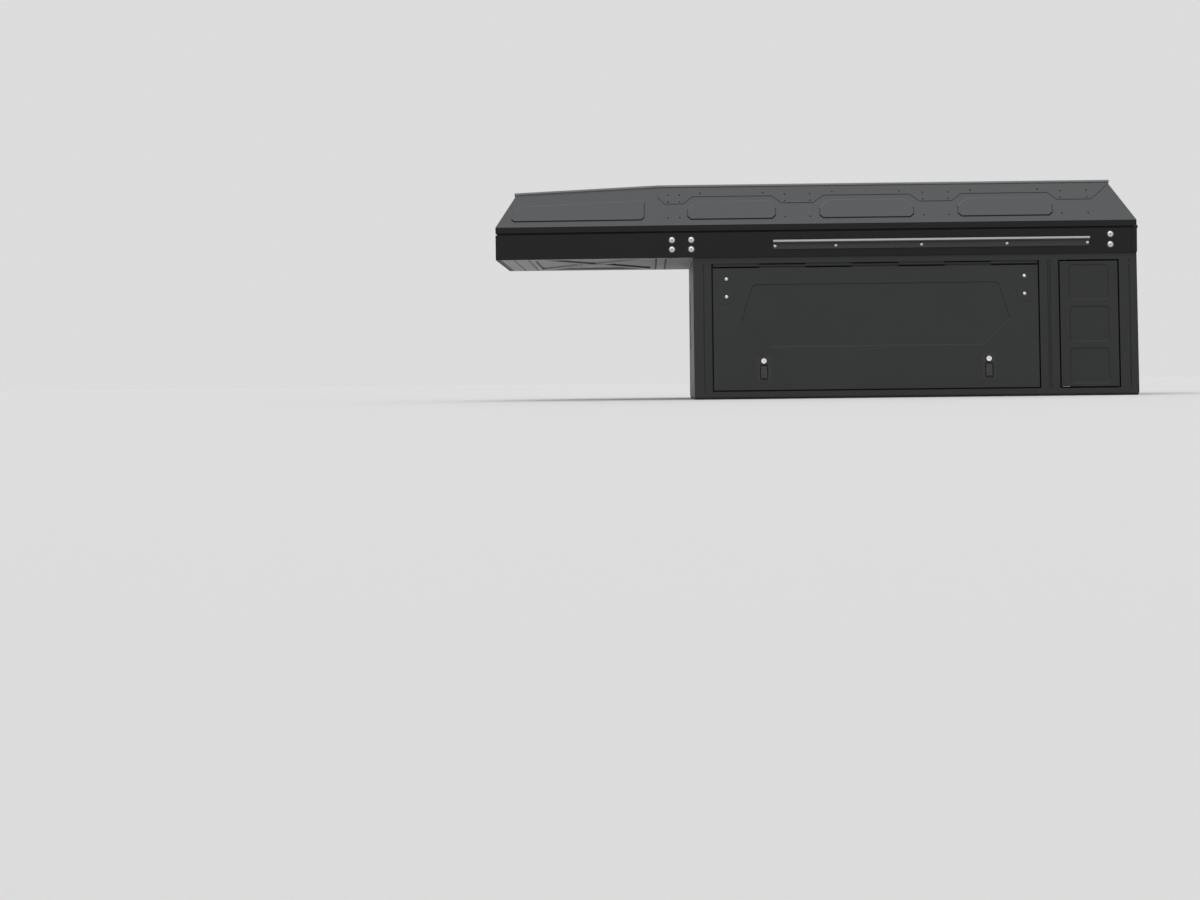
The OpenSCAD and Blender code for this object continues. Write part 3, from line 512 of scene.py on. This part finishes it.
def door_bolts(side):
    """Bolts through the plates at a side door's top corners."""
    body = DOOR_BODY[side]
    name = SIDE_NAME[side]

    def pads(out):
        edges = (DOOR_FRONT + PAD_BOLT_IN, DOOR_REAR - PAD_BOLT_IN)
        return [wall_spot(x, z, side, out) for x in edges for z in PAD_BOLT_Z]

    fasteners(f"{name}_pad_washers", body, pads(PAD_THICK), PAD_WASHER, BLACK_SCREW, 24)
    fasteners(f"{name}_pad_bolts", body, pads(PAD_BOLT_OUT), PAD_BOLT, STAINLESS, 24)


def lock_barrels(name, body, spots):
    """Bright lock face in a dark collar, with a black strip as painted shade of its keyway."""
    collars = [(place + normal * COLLAR_OUT, normal) for place, normal in spots]
    fasteners(f"{name}_lock_collars", body, collars, LOCK_COLLAR, BLACK_SCREW, 28)
    faces = [(place + normal * FACE_OUT, normal) for place, normal in spots]
    fasteners(f"{name}_lock_faces", body, faces, LOCK_FACE, STAINLESS, 28)
    mesh = bmesh.new()
    for place, normal in spots:
        turn = Vector((0, 1, 0)).rotation_difference(normal).to_matrix()
        strip(mesh, place + normal * KEYWAY_SHADE_OUT, KEYWAY_SHADE, turn)
    piece(f"{name}_keyway_shades", mesh, body, BLACK_SCREW, False)


def lever_dot(latch, spot):
    """Round mark near the foot of a latch lever."""
    fasteners(f"{latch}_lever_dot", f"{latch}_latch", [spot], LEVER_DOT, BLACK_SCREW, 16)


def latches():
    """Locks and lever marks of the five latches."""
    stations = {"front": DOOR_FRONT + LATCH_IN, "rear": DOOR_REAR - LATCH_IN}
    for side in SIDES:
        spots = [wall_spot(x, LOCK_Z, side) for x in stations.values()]
        lock_barrels(SIDE_NAME[side], DOOR_BODY[side], spots)
    lock_barrels("rear", "back_door", [rear_spot(0, LOCK_Z)])
    for side in SIDES:
        for end, x in stations.items():
            lever_dot(f"{SIDE_NAME[side]}_{end}", wall_spot(x, LEVER_DOT_Z, side, -LEVER_DEPTH))
    lever_dot("rear", rear_spot(0, LEVER_DOT_Z, -LEVER_DEPTH))


def rear_plate_bolts():
    """Bolts of the two strut plates on the rear door."""
    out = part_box("rear_door")[1].x - REAR_X
    half = BASE_HALF - PLATE_FOOT * math.tan(LEAN) - POST_DEPTH - PLATE_IN
    spots = [rear_spot(side * half, z, out) for side in SIDES for z in PLATE_BOLT_Z]
    fasteners("rear_plate_bolts", "back_door", spots, PLATE_BOLT, BLACK_SCREW)


def keeper_straps():
    """Rubber strap on top of each catch's keeper, and the strap's foot on the wall below it."""
    low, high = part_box("tent_latches")
    mesh = bmesh.new()
    for side in SIDES:
        y = side * (high.y - KEEPER_HALF)
        strip(mesh, Vector((REAR_X + 0.022, y, high.z - 0.004)), STRAP)
        strip(mesh, Vector((REAR_X + 0.0015, y, low.z + 0.012)), STRAP_FOOT)
    piece("keeper_straps", mesh, "canopy", SEAL_RUBBER, False)


def post_details(side):
    """Plugs near the heads of the posts, and screws along the sill."""
    name = SIDE_NAME[side]
    plugs = [wall_spot(x, z, side) for x, z in POST_PLUGS]
    fasteners(f"{name}_post_plugs", "canopy", plugs, POST_PLUG, BLACK_SCREW, 16)
    screws = [wall_spot(x, SILL_SCREW_Z, side, -SILL_SCREW_SUNK) for x in SILL_SCREW_X]
    fasteners(f"{name}_sill_screws", "canopy", screws, SILL_SCREW, BLACK_SCREW, 16)


def nose_underside():
    """Two rows of bolts near the front, two more at the crease, and the seams beside those."""
    down = Vector((0, 0, -1))
    spots = []
    for x, count, pitch, drop in NOSE_ROWS:
        for k in range(count):
            y = (k - (count - 1) / 2) * pitch
            spots.append((Vector((NOSE_X + x, y, TENT_FOOT - drop)), down))
    fasteners("nose_bolts", "canopy", spots, NOSE_BOLT, BLACK_SCREW, 12)
    mesh = bmesh.new()
    for x in NOSE_SEAM_X:
        strip(mesh, Vector((NOSE_X + x, 0, TENT_FOOT - NOSE_SEAM_DROP)), NOSE_SEAM)
    piece("nose_seams", mesh, "canopy", FLOOR_BOUNCE_PAINT, False)


def rear_seams():
    """Folded corner covers where the tent base's sides meet its rear wall."""
    mesh = bmesh.new()
    z = TENT_FOOT + COVER_MIDDLE
    for side in SIDES:
        strip(mesh, Vector((REAR_X - COVER_IN, side * (TENT_HALF + SIDE_COVER_OUT), z)), SIDE_COVER)
        strip(mesh, Vector((REAR_X + REAR_COVER_OUT, side * (TENT_HALF - COVER_IN), z)), REAR_COVER)
    piece("corner_covers", mesh, "canopy", BAND_PAINT, False)


def stage_floor():
    """Pale floor that shows as the backdrop's colour where it is lit."""
    mesh = bmesh.new()
    bmesh.ops.create_grid(mesh, x_segments=1, y_segments=1, size=FLOOR_HALF)
    data = bpy.data.meshes.new("floor")
    mesh.to_mesh(data)
    mesh.free()
    floor = bpy.data.objects.new("floor", data)
    bpy.context.scene.collection.objects.link(floor)
    material, _, shader = node_tree("floor_pale")
    shader.inputs["Base Color"].default_value = (BACKDROP, BACKDROP, BACKDROP, 1)
    shader.inputs["Roughness"].default_value = 0.9
    shader.inputs["Specular IOR Level"].default_value = 0.1
    data.materials.append(material)


def world_light():
    """Even light from all round, which the camera, gloss and glass see as a pale backdrop."""
    world = bpy.data.worlds.new("studio")
    bpy.context.scene.world = world
    world.use_nodes = True
    tree = world.node_tree
    tree.nodes.clear()
    path = add(tree, "ShaderNodeLightPath")
    seen = path.outputs["Is Camera Ray"]
    for kind in ("Is Transmission Ray", "Is Glossy Ray"):
        either = add(tree, "ShaderNodeMath", operation="MAXIMUM")
        tree.links.new(seen, either.inputs[0])
        tree.links.new(path.outputs[kind], either.inputs[1])
        seen = either.outputs["Value"]
    shown = add(tree, "ShaderNodeBackground")
    shown.inputs["Color"].default_value = (BACKDROP, BACKDROP, BACKDROP, 1)
    lit = add(tree, "ShaderNodeBackground")
    lit.inputs["Color"].default_value = (1, 1, 1, 1)
    lit.inputs["Strength"].default_value = WORLD_STRENGTH
    mix = add(tree, "ShaderNodeMixShader")
    out = add(tree, "ShaderNodeOutputWorld")
    tree.links.new(seen, mix.inputs["Fac"])
    tree.links.new(lit.outputs["Background"], mix.inputs[1])
    tree.links.new(shown.outputs["Background"], mix.inputs[2])
    tree.links.new(mix.outputs["Shader"], out.inputs["Surface"])


def soft_sun(name, towards, spread, power):
    """Even light from far away, softened over a wide angle; towards points from the object to the lamp."""
    data = bpy.data.lights.new(name, "SUN")
    data.angle = math.radians(spread)
    data.energy = power
    lamp = bpy.data.objects.new(name, data)
    bpy.context.scene.collection.objects.link(lamp)
    lamp.rotation_mode = "QUATERNION"
    lamp.rotation_quaternion = (-Vector(towards)).to_track_quat("-Z", "Y")


def camera():
    """Camera turned by its yaw, then its pitch, then its roll."""
    data = bpy.data.cameras.new("view")
    data.sensor_width = SENSOR
    data.lens = FOCAL_PIXELS / IMAGE_WIDTH * SENSOR
    data.clip_end = VIEW_DEPTH
    view = bpy.data.objects.new("view", data)
    bpy.context.scene.collection.objects.link(view)
    forward = Vector((-math.sin(CAMERA_YAW) * math.cos(CAMERA_PITCH),
                      math.cos(CAMERA_YAW) * math.cos(CAMERA_PITCH), math.sin(CAMERA_PITCH)))
    level_right = Vector((math.cos(CAMERA_YAW), math.sin(CAMERA_YAW), 0))
    level_up = level_right.cross(forward)
    right = math.cos(CAMERA_ROLL) * level_right + math.sin(CAMERA_ROLL) * level_up
    up = -math.sin(CAMERA_ROLL) * level_right + math.cos(CAMERA_ROLL) * level_up
    turn = Matrix((right, up, -forward)).transposed()
    view.matrix_world = Matrix.Translation(CAMERA_PLACE) @ turn.to_4x4()
    bpy.context.scene.camera = view


camera()
bpy.context.scene.view_settings.view_transform = "Standard"
world_light()
soft_sun("overhead", towards=(-0.25, -0.30, 1), spread=70, power=1.35)
soft_sun("side_fill", towards=(0.1, -1, 0.45), spread=60, power=0.5)
soft_sun("back_fill", towards=(0.1, 1, 0.45), spread=60, power=0.5)
dress_nodes()
for SIDE in SIDES:
    tent_bolts(SIDE)
    lap_rivets(SIDE)
    door_bolts(SIDE)
    post_details(SIDE)
latches()
rear_plate_bolts()
keeper_straps()
nose_underside()
rear_seams()
stage_floor()
